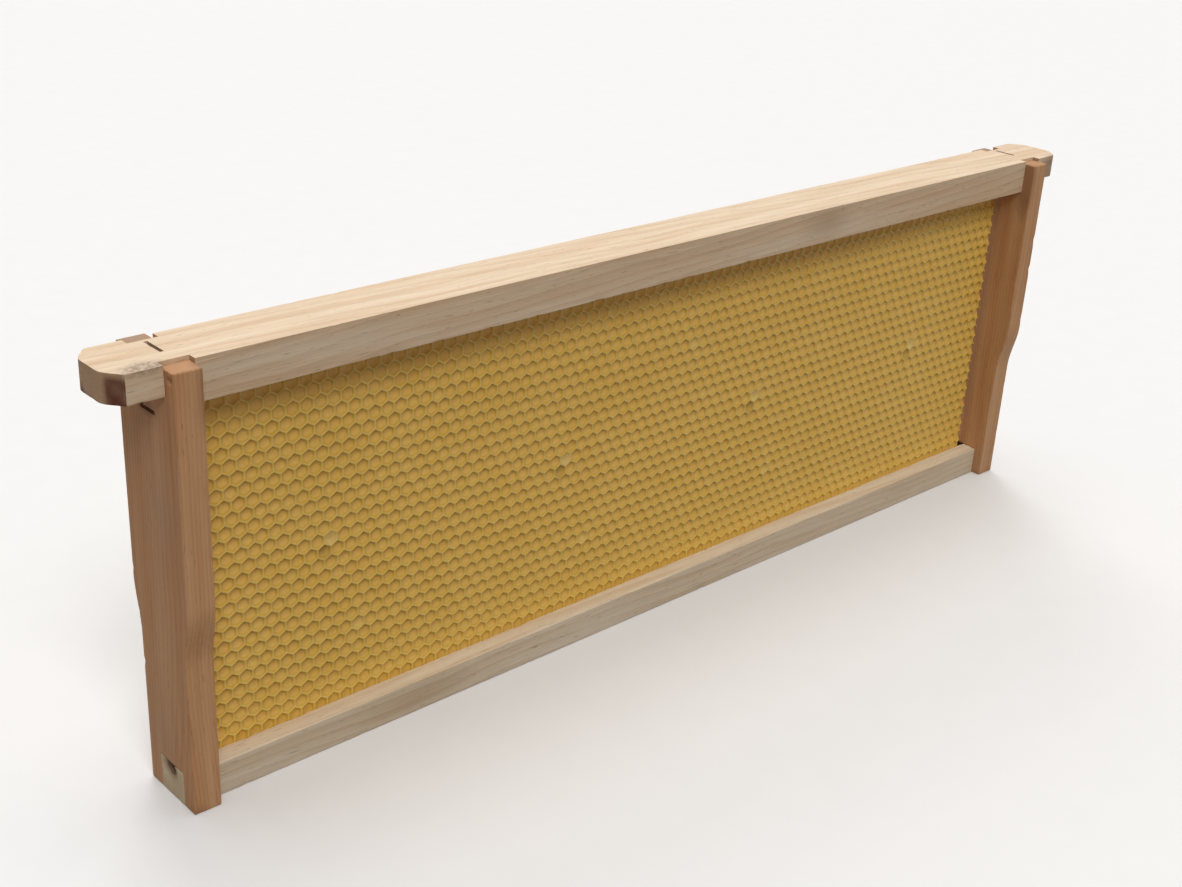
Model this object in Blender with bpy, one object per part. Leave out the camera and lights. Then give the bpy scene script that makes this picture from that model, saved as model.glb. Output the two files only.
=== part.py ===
"""A medium-depth Langstroth hive frame with a moulded foundation sheet.

Four pine bars make the frame. The top bar carries a lug at each end and hangs the frame in the hive.
The end bars clasp the top bar between two prongs above and the bottom bar's tenon between two below,
and they are wider above than below, so that neighbouring frames keep their distance. The sheet sits in
a groove under the top bar and a groove in the bottom bar. Wire staples hold each corner.

Metres, +Z up, +X along the bars. The origin is at the middle of the frame's underside.
"""

import math

import bmesh
import bpy
from mathutils import Matrix, Vector

# Overall frame
FRAME_HEIGHT = 0.15875
END_BAR_SPAN = 0.4477  # outer face to outer face
FIT = 0.0003  # gap left between pieces that touch

# End bars
END_BAR_THICKNESS = 0.0100
END_BAR_TOP_WIDTH = 0.0349
END_BAR_BOTTOM_WIDTH = 0.0286
SHOULDER_LOW = 0.0560  # the bar starts to widen at this height
SHOULDER_RISE = 0.0220  # and is at its full width this much higher
SHOULDER_STEPS = 10
PRONG_DROP = 0.0013  # the prongs stop this far below the top bar's top face

# Top bar
TOP_BAR_WIDTH = 0.0254
TOP_BAR_DEPTH = 0.0143
NECK_WIDTH = 0.0186  # between the side dados, where the end bar's prongs clasp the bar
NECK_DEPTH = 0.0103
LUG_REACH = 0.01745  # beyond the end bar's outer face
LUG_DEPTH = 0.0100
LUG_CHAMFER_X = 0.0050
LUG_CHAMFER_Y = 0.0060

# Bottom bar
BOTTOM_BAR_WIDTH = 0.0195
BOTTOM_BAR_DEPTH = 0.0127
TENON_WIDTH = 0.0146

# Foundation sheet and the two grooves that hold it
SHEET_LENGTH = 0.4220
SHEET_THICKNESS = 0.0034
GROOVE_DEPTH = 0.0032

# Staples, of flattened wire
WIRE = 0.0011
STAPLE_CROWN = 0.0100
STAPLE_LEG = 0.0250
SIDE_STAPLE_CROWN = 0.0086
SIDE_STAPLE_LEG = 0.0180
STAPLE_SINK = 0.0006  # the crown is driven this far below the wood's surface
STAPLE_POINT = 0.0014  # length of the chisel point on each leg
TOP_STAPLE_OFFSET_Y = 0.0026
SIDE_STAPLE_OFFSET_Y = -0.0004
SIDE_STAPLE_DROP = 0.0079  # below the lug's underside, where the gun has room
SIDE_STAPLE_TILT = 28.0  # degrees upwards, so that the legs reach the top bar
BOTTOM_STAPLE_OFFSET_Y = 0.0012
CUT_BEYOND = 0.0020  # how far a cutter reaches past the surface that it opens

WOOD_COLOUR = (0.79, 0.64, 0.45)
END_WOOD_COLOUR = (0.72, 0.54, 0.37)
SHEET_COLOUR = (0.72, 0.55, 0.14)
STEEL_COLOUR = (0.46, 0.44, 0.42)

WELD_DISTANCE = 0.000001


def clear_scene():
    for obj in list(bpy.data.objects):
        bpy.data.objects.remove(obj, do_unlink=True)


def new_collection(name):
    collection = bpy.data.collections.new(name)
    bpy.context.scene.collection.children.link(collection)
    return collection


def new_material(name, colour, roughness, metallic=0.0):
    material = bpy.data.materials.new(name)
    material.use_nodes = True
    shader = material.node_tree.nodes["Principled BSDF"]
    shader.inputs["Base Color"].default_value = (*colour, 1.0)
    shader.inputs["Roughness"].default_value = roughness
    shader.inputs["Metallic"].default_value = metallic
    return material


def board(name, outline, thickness, matrix, collection, material=None):
    """A closed flat outline given a thickness about its own plane, placed by matrix, as a mesh that can be cut."""
    curve = bpy.data.curves.new(name, "CURVE")
    curve.dimensions = "2D"
    curve.fill_mode = "BOTH"
    curve.extrude = thickness / 2
    spline = curve.splines.new("POLY")
    spline.points.add(len(outline) - 1)
    for point, (u, v) in zip(spline.points, outline):
        point.co = (u, v, 0.0, 1.0)
    spline.use_cyclic_u = True
    guide = bpy.data.objects.new(name + "_outline", curve)
    collection.objects.link(guide)
    guide.matrix_world = matrix
    bpy.context.view_layer.update()
    evaluated = guide.evaluated_get(bpy.context.evaluated_depsgraph_get())
    mesh = bpy.data.meshes.new_from_object(evaluated)
    mesh.name = name
    body = bmesh.new()
    body.from_mesh(mesh)
    bmesh.ops.remove_doubles(body, verts=body.verts, dist=WELD_DISTANCE)
    for level in (-thickness / 2, thickness / 2):
        cap = [face for face in body.faces if all(abs(v.co.z - level) < WELD_DISTANCE for v in face.verts)]
        bmesh.ops.dissolve_faces(body, faces=cap)
    bmesh.ops.recalc_face_normals(body, faces=body.faces)
    body.to_mesh(mesh)
    body.free()
    obj = bpy.data.objects.new(name, mesh)
    obj.matrix_world = guide.matrix_world
    collection.objects.link(obj)
    bpy.data.objects.remove(guide, do_unlink=True)
    if material:
        mesh.materials.clear()
        mesh.materials.append(material)
    return obj


def block(name, low, high, collection, material=None):
    """A box between two corners."""
    low = Vector(low)
    high = Vector(high)
    body = bmesh.new()
    bmesh.ops.create_cube(body, size=1.0)
    bmesh.ops.scale(body, vec=high - low, verts=body.verts)
    mesh = bpy.data.meshes.new(name)
    body.to_mesh(mesh)
    body.free()
    obj = bpy.data.objects.new(name, mesh)
    obj.location = (low + high) / 2
    collection.objects.link(obj)
    if material:
        mesh.materials.append(material)
    return obj


def cut(obj, cutter):
    cutter.hide_render = True
    cutter.display_type = "WIRE"
    modifier = obj.modifiers.new("Cut_" + cutter.name, "BOOLEAN")
    modifier.operation = "DIFFERENCE"
    modifier.object = cutter


def mirrored(points):
    """The half outline on the +u side, run bottom to top, closed by its mirror image on the -u side."""
    return points + [(-u, v) for u, v in reversed(points)]


def shoulder_half_width(share):
    """Half the end bar's width at this share of the way up its shoulder, easing in and out."""
    ease = (1 - math.cos(math.pi * share)) / 2
    return (END_BAR_BOTTOM_WIDTH + (END_BAR_TOP_WIDTH - END_BAR_BOTTOM_WIDTH) * ease) / 2


def end_bar_outline():
    """Seen along the frame: u across the frame, v up. It runs from one lower prong up to the upper one."""
    tenon_slot = TENON_WIDTH / 2 + FIT
    neck_slot = NECK_WIDTH / 2 + FIT
    prong_top = FRAME_HEIGHT - PRONG_DROP
    half = [
        (tenon_slot, BOTTOM_BAR_DEPTH + FIT),
        (tenon_slot, 0.0),
        (END_BAR_BOTTOM_WIDTH / 2, 0.0),
    ]
    for step in range(SHOULDER_STEPS + 1):
        share = step / SHOULDER_STEPS
        half.append((shoulder_half_width(share), SHOULDER_LOW + SHOULDER_RISE * share))
    half += [
        (END_BAR_TOP_WIDTH / 2, prong_top),
        (neck_slot, prong_top),
        (neck_slot, FRAME_HEIGHT - NECK_DEPTH - FIT),
    ]
    return mirrored(half)


def end_bar(name, side, collection, material):
    """The outline stands across the frame, with its thickness along the frame."""
    middle = side * (END_BAR_SPAN - END_BAR_THICKNESS) / 2
    upright = Matrix(((0, 0, 1, middle), (1, 0, 0, 0), (0, 1, 0, 0), (0, 0, 0, 1)))
    return board(name, end_bar_outline(), END_BAR_THICKNESS, upright, collection, material)


def turned(points):
    """An outline mirrored about the frame's middle plane, then about its length, from one quarter of it."""
    right = points + [(x, -y) for x, y in reversed(points)]
    return right + [(-x, y) for x, y in reversed(right)]


def top_bar(collection, cutters, material):
    """The plan outline, from the end bar's inner face out to the lug's end, is the same in all four quarters."""
    inner = END_BAR_SPAN / 2 - END_BAR_THICKNESS - FIT
    outer = END_BAR_SPAN / 2 + FIT
    lug_end = END_BAR_SPAN / 2 + LUG_REACH
    half_width = TOP_BAR_WIDTH / 2
    quarter = [
        (inner, half_width),
        (inner, NECK_WIDTH / 2),
        (outer, NECK_WIDTH / 2),
        (outer, half_width),
        (lug_end - LUG_CHAMFER_X, half_width),
        (lug_end, half_width - LUG_CHAMFER_Y),
    ]
    place = Matrix.Translation((0, 0, FRAME_HEIGHT - TOP_BAR_DEPTH / 2))
    bar = board("top_bar", turned(quarter), TOP_BAR_DEPTH, place, collection, material)
    reliefs = (
        ("neck_relief_left", -1, inner, NECK_DEPTH),
        ("neck_relief_right", 1, inner, NECK_DEPTH),
        ("lug_relief_left", -1, outer, LUG_DEPTH),
        ("lug_relief_right", 1, outer, LUG_DEPTH),
    )
    for name, side, start, depth_left in reliefs:
        ends = sorted((side * start, side * (lug_end + CUT_BEYOND)))
        relief = block(
            name,
            (ends[0], -half_width - CUT_BEYOND, FRAME_HEIGHT - TOP_BAR_DEPTH - CUT_BEYOND),
            (ends[1], half_width + CUT_BEYOND, FRAME_HEIGHT - depth_left),
            cutters,
        )
        cut(bar, relief)
    return bar


def bottom_bar(collection, material):
    inner = END_BAR_SPAN / 2 - END_BAR_THICKNESS - FIT
    quarter = [
        (inner, BOTTOM_BAR_WIDTH / 2),
        (inner, TENON_WIDTH / 2),
        (END_BAR_SPAN / 2, TENON_WIDTH / 2),
    ]
    place = Matrix.Translation((0, 0, BOTTOM_BAR_DEPTH / 2))
    return board("bottom_bar", turned(quarter), BOTTOM_BAR_DEPTH, place, collection, material)


def groove(name, bar, low_z, high_z, cutters):
    """A saw groove along the whole bar, a fit wider than the sheet."""
    half_length = END_BAR_SPAN / 2 + LUG_REACH + CUT_BEYOND
    half_width = SHEET_THICKNESS / 2 + FIT
    cut(bar, block(name, (-half_length, -half_width, low_z), (half_length, half_width, high_z), cutters))


def foundation_sheet(collection, material):
    """The sheet's envelope. It stands in both grooves, a fit clear of their ends."""
    low_z = BOTTOM_BAR_DEPTH - GROOVE_DEPTH + FIT
    high_z = FRAME_HEIGHT - TOP_BAR_DEPTH + GROOVE_DEPTH - FIT
    return block(
        "foundation_sheet",
        (-SHEET_LENGTH / 2, -SHEET_THICKNESS / 2, low_z),
        (SHEET_LENGTH / 2, SHEET_THICKNESS / 2, high_z),
        collection,
        material,
    )


def staple_outline(crown, leg):
    """A staple seen flat: u along the crown, v the way that it is driven, from the wood's surface."""
    outer = crown / 2
    inner = outer - WIRE
    bend = WIRE / 3
    half = [
        (inner, STAPLE_SINK + WIRE),
        (inner, STAPLE_SINK + leg - STAPLE_POINT),
        (outer, STAPLE_SINK + leg),
        (outer, STAPLE_SINK + bend),
        (outer - bend, STAPLE_SINK),
    ]
    return mirrored(half)


def staple_slot_outline(crown, leg):
    """The slot that the staple leaves in the wood, open at the surface and a fit clear all round."""
    outer = crown / 2 + FIT
    inner = crown / 2 - WIRE - FIT
    half = [
        (inner, STAPLE_SINK + WIRE + FIT),
        (inner, STAPLE_SINK + leg + FIT),
        (outer, STAPLE_SINK + leg + FIT),
        (outer, -CUT_BEYOND),
    ]
    return mirrored(half)


def drive_staple(name, entry, direction, crown, leg, woods, collection, cutters, material):
    """A staple whose crown runs across the frame, driven at entry, and its slot cut in each wood that it meets."""
    across = Vector((0, 1, 0))
    along = Vector(direction)
    normal = across.cross(along)
    place = Matrix.Translation(entry) @ Matrix((across, along, normal)).transposed().to_4x4()
    board(name, staple_outline(crown, leg), WIRE, place, collection, material)
    slot = board(name + "_slot", staple_slot_outline(crown, leg), WIRE + 2 * FIT, place, cutters)
    for wood in woods:
        cut(wood, slot)


def staples_at(side, label, top, bottom, end, collection, cutters, material):
    """The three staples at one end of the frame."""
    middle_x = side * (END_BAR_SPAN - END_BAR_THICKNESS) / 2
    under_lug_z = FRAME_HEIGHT - LUG_DEPTH - SIDE_STAPLE_DROP
    tilt = math.radians(SIDE_STAPLE_TILT)
    inwards = (-side * math.cos(tilt), 0, math.sin(tilt))
    drives = (
        ("top_staple_", (middle_x, TOP_STAPLE_OFFSET_Y, FRAME_HEIGHT), (0, 0, -1),
         STAPLE_CROWN, STAPLE_LEG, (top, end)),
        ("side_staple_", (side * END_BAR_SPAN / 2, SIDE_STAPLE_OFFSET_Y, under_lug_z), inwards,
         SIDE_STAPLE_CROWN, SIDE_STAPLE_LEG, (end, top)),
        ("bottom_staple_", (middle_x, BOTTOM_STAPLE_OFFSET_Y, 0.0), (0, 0, 1),
         STAPLE_CROWN, STAPLE_LEG, (bottom, end)),
    )
    for name, entry, direction, crown, leg, woods in drives:
        drive_staple(name + label, entry, direction, crown, leg, woods, collection, cutters, material)


def build():
    clear_scene()
    frame = new_collection("langstroth_hive_frame")
    cutters = new_collection("cutters")
    cutters.hide_render = True
    bar_wood = new_material("pine_bar", WOOD_COLOUR, 0.62)
    end_wood = new_material("pine_end_bar", END_WOOD_COLOUR, 0.66)
    wax = new_material("foundation", SHEET_COLOUR, 0.42)
    steel = new_material("staple_steel", STEEL_COLOUR, 0.38, metallic=1.0)

    top = top_bar(frame, cutters, bar_wood)
    groove("top_groove", top, FRAME_HEIGHT - TOP_BAR_DEPTH - CUT_BEYOND,
           FRAME_HEIGHT - TOP_BAR_DEPTH + GROOVE_DEPTH, cutters)
    bottom = bottom_bar(frame, bar_wood)
    groove("bottom_groove", bottom, BOTTOM_BAR_DEPTH - GROOVE_DEPTH,
           BOTTOM_BAR_DEPTH + CUT_BEYOND, cutters)
    foundation_sheet(frame, wax)
    for side, label in ((-1, "left"), (1, "right")):
        end = end_bar(label + "_end_bar", side, frame, end_wood)
        staples_at(side, label, top, bottom, end, frame, cutters, steel)


build()
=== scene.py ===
"""A Langstroth hive frame: four pine bars, stapled round a moulded sheet of honeycomb foundation.

Metres, +Z up, +X along the bars, the front towards -Y, the origin under the middle of the frame.
"""

import math

import bmesh
import bpy
import numpy as np
from mathutils import Matrix, Vector, noise


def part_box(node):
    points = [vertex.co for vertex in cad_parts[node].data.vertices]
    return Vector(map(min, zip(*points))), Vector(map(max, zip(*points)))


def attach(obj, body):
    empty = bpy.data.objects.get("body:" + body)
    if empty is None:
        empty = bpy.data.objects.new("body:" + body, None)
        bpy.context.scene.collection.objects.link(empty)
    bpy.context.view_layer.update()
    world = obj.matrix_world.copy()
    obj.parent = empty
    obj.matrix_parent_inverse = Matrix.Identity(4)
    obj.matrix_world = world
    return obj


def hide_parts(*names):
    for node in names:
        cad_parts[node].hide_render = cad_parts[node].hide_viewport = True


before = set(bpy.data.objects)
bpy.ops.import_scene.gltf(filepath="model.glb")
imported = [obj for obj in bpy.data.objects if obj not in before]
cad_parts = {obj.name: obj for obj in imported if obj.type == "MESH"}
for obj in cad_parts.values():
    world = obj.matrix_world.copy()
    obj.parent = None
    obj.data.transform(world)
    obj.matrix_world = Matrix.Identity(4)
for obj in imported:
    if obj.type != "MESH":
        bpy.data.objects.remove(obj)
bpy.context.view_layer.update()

MM = 0.001


# ---------------------------------------------------------------- top bar
# A planed pine batten that hangs the frame in the hive by its two lugs. It is moulded with a groove
# underneath for the sheet, dadoed on both sides for the end bars' prongs, thinned at the lugs, and
# its four lug corners are sawn off. Saw and staple gun leave torn fibres round the left lug.

def as_object(name, body):
    """Makes an object in the scene of the finished points and faces."""
    mesh = bpy.data.meshes.new(name)
    body.to_mesh(mesh)
    body.free()
    obj = bpy.data.objects.new(name, mesh)
    bpy.context.scene.collection.objects.link(obj)
    return obj


def plank(name, outline, low, high, axes="XYZ"):
    """A flat outline of (u, v) points, given a thickness from low to high.

    axes says where u, v and the thickness point.
    """
    order = ["XYZ".index(letter) for letter in axes]
    body = bmesh.new()
    rings = []
    for level in (low, high):
        ring = []
        for u, v in outline:
            spot = [0.0, 0.0, 0.0]
            spot[order[0]] = u
            spot[order[1]] = v
            spot[order[2]] = level
            ring.append(body.verts.new(spot))
        rings.append(ring)
        body.faces.new(ring)
    for i in range(len(outline)):
        j = (i + 1) % len(outline)
        body.faces.new((rings[0][i], rings[0][j], rings[1][j], rings[1][i]))
    bmesh.ops.recalc_face_normals(body, faces=body.faces)
    return as_object(name, body)


def cutter(low, high):
    """A block that a saw kerf, groove or staple slot takes out."""
    corners = [(low[0], low[1]), (high[0], low[1]), (high[0], high[1]), (low[0], high[1])]
    return plank("cutter", corners, low[2], high[2])


def settle(obj):
    """Makes what the modifiers show the piece's own mesh."""
    bpy.context.view_layer.update()
    shown = obj.evaluated_get(bpy.context.evaluated_depsgraph_get())
    mesh = bpy.data.meshes.new_from_object(shown)
    obj.modifiers.clear()
    obj.data = mesh


def carve(obj, cutters):
    """Takes the cutters' shapes out of the piece, and removes the cutters."""
    for tool in cutters:
        cut = obj.modifiers.new("cut", "BOOLEAN")
        cut.operation = "DIFFERENCE"
        cut.solver = "EXACT"
        cut.object = tool
    settle(obj)
    for tool in cutters:
        bpy.data.objects.remove(tool, do_unlink=True)


def ease(obj, width):
    """Rounds the arrises a little, as handling and a rub of sandpaper do."""
    bevel = obj.modifiers.new("ease", "BEVEL")
    bevel.width = width
    bevel.segments = 2
    bevel.limit_method = "ANGLE"
    bevel.angle_limit = math.radians(28)
    settle(obj)


def dice(body, axis, places):
    """Cuts the mesh across one axis at each place, so that there are points enough to carry wear."""
    normal = Vector([float(i == axis) for i in range(3)])
    for place in places:
        everything = body.verts[:] + body.edges[:] + body.faces[:]
        bmesh.ops.bisect_plane(body, geom=everything, dist=2e-5, plane_co=normal * place, plane_no=normal)


def splinter(body, root, tip, width):
    """A torn fibre: a thin closed spike from root to tip."""
    along = (tip - root).normalized()
    side = along.orthogonal().normalized()
    other = along.cross(side)
    base = []
    for i in range(3):
        angle = i * math.tau / 3
        base.append(body.verts.new(root + (side * math.cos(angle) + other * math.sin(angle)) * width / 2))
    point = body.verts.new(tip)
    body.faces.new(base[::-1])
    for i in range(3):
        body.faces.new((base[i], base[(i + 1) % 3], point))


def weather(body, depth_at, marks_at):
    """Moves every point inwards by depth_at(spot, arris), and paints the piece's marks of use and its
    painted shade.

    marks_at(spot) gives three shares: of grey torn fibre, of brown scorch and painted shade, and of a soft
    smudge.
    """
    layer = body.verts.layers.float_color.new("marks")
    moved = []
    for vert in body.verts:
        normals = [face.normal for face in vert.link_faces]
        arris = any(a.dot(b) < 0.97 for a in normals for b in normals)
        moved.append((vert, vert.normal * -depth_at(vert.co, arris)))
        vert[layer] = (*marks_at(vert.co), 1.0)
    for vert, step in moved:
        vert.co += step


def furnish(obj, material, slot, *nodes):
    """Smooths the shading over the arrises, paints the piece, and hangs it in place of its CAD nodes."""
    obj.data.materials.clear()
    obj.data.materials.append(material)
    obj.data.shade_smooth()
    obj.data.set_sharp_from_angle(angle=math.radians(42))
    weighted = obj.modifiers.new("flat faces", "WEIGHTED_NORMAL")
    weighted.keep_sharp = True
    weighted.weight = 80
    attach(obj, "root")
    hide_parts(*nodes)


def near(spot, centre, reach):
    """1 at centre, falling to 0 at the given reach along each axis."""
    share = math.sqrt(sum(((spot[i] - centre[i]) / reach[i]) ** 2 for i in range(3)))
    return max(0.0, 1.0 - share)


def linear(hex_colour):
    """An sRGB hex colour as linear RGBA."""
    channels = [int(hex_colour[i:i + 2], 16) / 255 for i in (1, 3, 5)]
    return (*[c / 12.92 if c <= 0.04045 else ((c + 0.055) / 1.055) ** 2.4 for c in channels], 1.0)


def add(tree, kind, inputs=None, **settings):
    """Adds one node. An input takes a value, or another node's output, which is linked to it."""
    node = tree.nodes.new("ShaderNode" + kind)
    for name, value in settings.items():
        setattr(node, name, value)
    for key, value in (inputs or {}).items():
        if isinstance(value, bpy.types.NodeSocket):
            tree.links.new(value, node.inputs[key])
        else:
            node.inputs[key].default_value = value
    return node


def empty_tree(owner):
    """The node tree of a new material or world, emptied to be built up afresh."""
    owner.use_nodes = True
    owner.node_tree.nodes.clear()
    return owner.node_tree


def planed_pine(name, grain, pith_mm, lean, ring_mm, early, warm, late, end_grain, ring_strength):
    """Pine as it comes from the planer, bare of any finish.

    The board is cut from a trunk whose pith runs along the grain at pith_mm (across, up) and leans from it.
    So all its faces show the same growth rings: pale earlywood that darkens to a thin amber latewood line.
    Its fibres run along the grain and show as fine threads. Sawn ends drink light and look browner.
    """
    material = bpy.data.materials.new(name)
    tree = empty_tree(material)
    order = (0, 1, 2) if grain == "X" else (2, 1, 0)
    place = add(tree, "TexCoord")
    in_mm = add(tree, "VectorMath", {0: place.outputs["Object"], "Scale": 1000.0}, operation="SCALE")
    axes = add(tree, "SeparateXYZ", {0: in_mm.outputs[0]})
    along = add(tree, "CombineXYZ", {i: axes.outputs[order[i]] for i in range(3)})

    # Growth rings. The trunk sways 3 mm or so over a hand's length, and the rings with it.
    slow = add(tree, "VectorMath", {0: along.outputs[0], 1: (1 / 120, 1 / 34, 1 / 34)},
               operation="MULTIPLY")
    sway = add(tree, "TexNoise", {"Vector": slow.outputs[0], "Scale": 1.0, "Detail": 2.0, "Roughness": 0.4})
    centred = add(tree, "VectorMath", {0: sway.outputs["Color"], 1: (0.5, 0.5, 0.5)}, operation="SUBTRACT")
    swayed = add(tree, "VectorMath", {0: centred.outputs[0], 1: (0.0, 7.0, 7.0), 2: along.outputs[0]},
                 operation="MULTIPLY_ADD")
    across = add(tree, "VectorMath", {0: swayed.outputs[0], 1: (lean[0], 1.0, 0.0)},
                 operation="DOT_PRODUCT")
    up = add(tree, "VectorMath", {0: swayed.outputs[0], 1: (lean[1], 0.0, 1.0)},
             operation="DOT_PRODUCT")
    spoke = add(tree, "CombineXYZ", {1: across.outputs["Value"], 2: up.outputs["Value"]})
    off_pith = add(tree, "VectorMath", {0: spoke.outputs[0], 1: (0.0, *pith_mm)}, operation="SUBTRACT")
    radius = add(tree, "VectorMath", {0: off_pith.outputs[0]}, operation="LENGTH")
    ring = add(tree, "Math", {0: radius.outputs["Value"], 1: 1 / ring_mm}, operation="MULTIPLY")
    uneven = add(tree, "Math", {0: sway.outputs["Fac"], 1: 2.6, 2: ring.outputs[0]},
                 operation="MULTIPLY_ADD")
    year = add(tree, "Math", {0: uneven.outputs[0]}, operation="FRACT")
    latewood = add(tree, "Math", {0: year.outputs[0], 1: 2.4}, operation="POWER")

    # Fibres. Real ones are 0.04 mm wide and 3 mm long. They are drawn about ten times as coarse, to show.
    fine = add(tree, "VectorMath", {0: swayed.outputs[0], 1: (1 / 25, 1 / 0.42, 1 / 0.42)},
               operation="MULTIPLY")
    fibre = add(tree, "TexNoise", {"Vector": fine.outputs[0], "Scale": 1.0, "Detail": 3.0,
                                   "Roughness": 0.6})
    # Broad streaks, a few millimetres wide, where one year's wood holds more resin than the next.
    broad = add(tree, "VectorMath", {0: swayed.outputs[0], 1: (1 / 95, 1 / 5.5, 1 / 5.5)},
                operation="MULTIPLY")
    streak = add(tree, "TexNoise", {"Vector": broad.outputs[0], "Scale": 1.0, "Detail": 2.5,
                                    "Roughness": 0.5})
    # Resin canals: dark hair-thin dashes some 4 mm long.
    short = add(tree, "VectorMath", {0: swayed.outputs[0], 1: (1 / 4.2, 1 / 0.34, 1 / 0.34)},
                operation="MULTIPLY")
    dash = add(tree, "TexNoise", {"Vector": short.outputs[0], "Scale": 1.0, "Detail": 0.0})
    canal = add(tree, "MapRange", {0: dash.outputs["Fac"], 1: 0.73, 2: 0.84, 3: 0.0, 4: 0.45}, clamp=True)

    # From earlywood to latewood within each year, more strongly where the streaks are warm.
    warmth = add(tree, "MapRange", {0: streak.outputs["Fac"], 1: 0.30, 2: 0.72})
    ground = add(tree, "Mix", {0: warmth.outputs[0], 6: linear(early), 7: linear(warm)}, data_type="RGBA")
    faded = add(tree, "Math", {0: warmth.outputs[0], 1: ring_strength * 0.8, 2: ring_strength * 0.45},
                operation="MULTIPLY_ADD")
    drawn = add(tree, "Math", {0: latewood.outputs[0], 1: faded.outputs[0]}, operation="MULTIPLY")
    ringed = add(tree, "Mix", {0: drawn.outputs[0], 6: ground.outputs[2], 7: linear(late)},
                 data_type="RGBA")
    specked = add(tree, "Mix", {0: canal.outputs[0], 6: ringed.outputs[2], 7: linear("#7A5433")},
                  data_type="RGBA")
    thread = add(tree, "MapRange", {0: fibre.outputs["Fac"], 1: 0.25, 2: 0.75, 3: 0.88, 4: 1.07})
    shaded = add(tree, "VectorMath", {0: specked.outputs[2], "Scale": thread.outputs[0]}, operation="SCALE")

    # Sawn ends: open pores soak up light. They show on the faces that look along the grain.
    facing = add(tree, "SeparateXYZ", {0: place.outputs["Normal"]})
    squared = add(tree, "Math", {0: facing.outputs[order[0]], 1: facing.outputs[order[0]]},
                  operation="MULTIPLY")
    sawn = add(tree, "MapRange", {0: squared.outputs[0], 1: 0.30, 2: 0.62}, clamp=True)
    pores = add(tree, "TexNoise", {"Vector": in_mm.outputs[0], "Scale": 2.2, "Detail": 3.0,
                                   "Roughness": 0.7})
    sawn_share = add(tree, "MapRange", {0: pores.outputs["Fac"], 1: 0.30, 2: 0.70, 3: 0.55, 4: 0.95})
    sawn_mask = add(tree, "Math", {0: sawn.outputs[0], 1: sawn_share.outputs[0]}, operation="MULTIPLY")
    ended = add(tree, "Mix", {0: sawn_mask.outputs[0], 6: shaded.outputs[0], 7: linear(end_grain)},
                data_type="RGBA")

    # Marks of use: grey torn fibre, brown saw scorch, and a soft smudge, painted on the mesh. The brown
    # share also carries painted shade.
    marks = add(tree, "Attribute", attribute_name="marks")
    split = add(tree, "SeparateColor", {0: marks.outputs["Color"]})
    mottle = add(tree, "TexNoise", {"Vector": in_mm.outputs[0], "Scale": 0.9, "Detail": 4.0,
                                    "Roughness": 0.7})
    mottled = add(tree, "MapRange", {0: mottle.outputs["Fac"], 1: 0.36, 2: 0.62, 3: 0.25, 4: 1.0},
                  clamp=True)
    scuff = add(tree, "Math", {0: split.outputs[0], 1: mottled.outputs[0]}, operation="MULTIPLY")
    scuffed = add(tree, "Mix", {0: scuff.outputs[0], 6: ended.outputs[2], 7: linear("#9C8B78")},
                  data_type="RGBA")
    scorched_and_shaded = add(tree, "Mix", {0: split.outputs[1], 6: scuffed.outputs[2], 7: linear("#5A280D")},
                   data_type="RGBA")
    smudged = add(tree, "Mix", {0: split.outputs[2], 6: scorched_and_shaded.outputs[2], 7: linear("#A98A6C")},
                  data_type="RGBA")

    # Raw wood is matt and uneven. Its fibres and year lines stand up some hundredths of a millimetre.
    rough = add(tree, "MapRange", {0: fibre.outputs["Fac"], 1: 0.2, 2: 0.8, 3: 0.58, 4: 0.76})
    relief = add(tree, "Math", {0: latewood.outputs[0], 1: 0.5, 2: fibre.outputs["Fac"]},
                 operation="MULTIPLY_ADD")
    pitted = add(tree, "Math", {0: sawn_mask.outputs[0], 1: pores.outputs["Fac"], 2: relief.outputs[0]},
                 operation="MULTIPLY_ADD")
    torn = add(tree, "Math", {0: split.outputs[0], 1: mottle.outputs["Fac"], 2: pitted.outputs[0]},
               operation="MULTIPLY_ADD")
    bump = add(tree, "Bump", {"Height": torn.outputs[0], "Strength": 0.55, "Distance": 0.00016})
    wood = add(tree, "BsdfPrincipled", {"Base Color": smudged.outputs[2], "Roughness": rough.outputs[0],
                                        "Normal": bump.outputs[0], "IOR": 1.45})
    add(tree, "OutputMaterial", {0: wood.outputs[0]})
    return material


HAIRLINE = 0.08 * MM  # the gap that shows at a driven joint
END_THICKNESS = 10.0 * MM
NECK_HALF = 9.3 * MM  # half the width left between the dados
BAR_DEPTH = 14.3 * MM
NECK_DEPTH = 10.2 * MM
LUG_DEPTH = 10.0 * MM
GROOVE_HALF = 1.95 * MM
GROOVE_DEPTH = 3.2 * MM
LUG_CORNER = (5.0 * MM, 6.0 * MM)  # sawn off each lug corner, along and across
WORN_SAWN_CORNER = 1.0 * MM  # how far handling has rounded the corner next to each side
WORN_TIP_CORNER = 2.2 * MM  # and the corner next to the lug's tip
BAR_ARRIS = 0.35 * MM

bar_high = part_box("top_bar")[1]
end_low, end_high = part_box("left_end_bar")
span_half = -end_low.x  # to the end bars' outer faces
inner_half = span_half - END_THICKNESS


def all_quarters(points):
    """A plan outline from one quarter of it, the same at both ends and on both sides."""
    right = points + [(x, -y) for x, y in reversed(points)]
    return right + [(-x, y) for x, y in reversed(right)]


lug_end = bar_high.x
half_width = bar_high.y
top = bar_high.z


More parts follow.
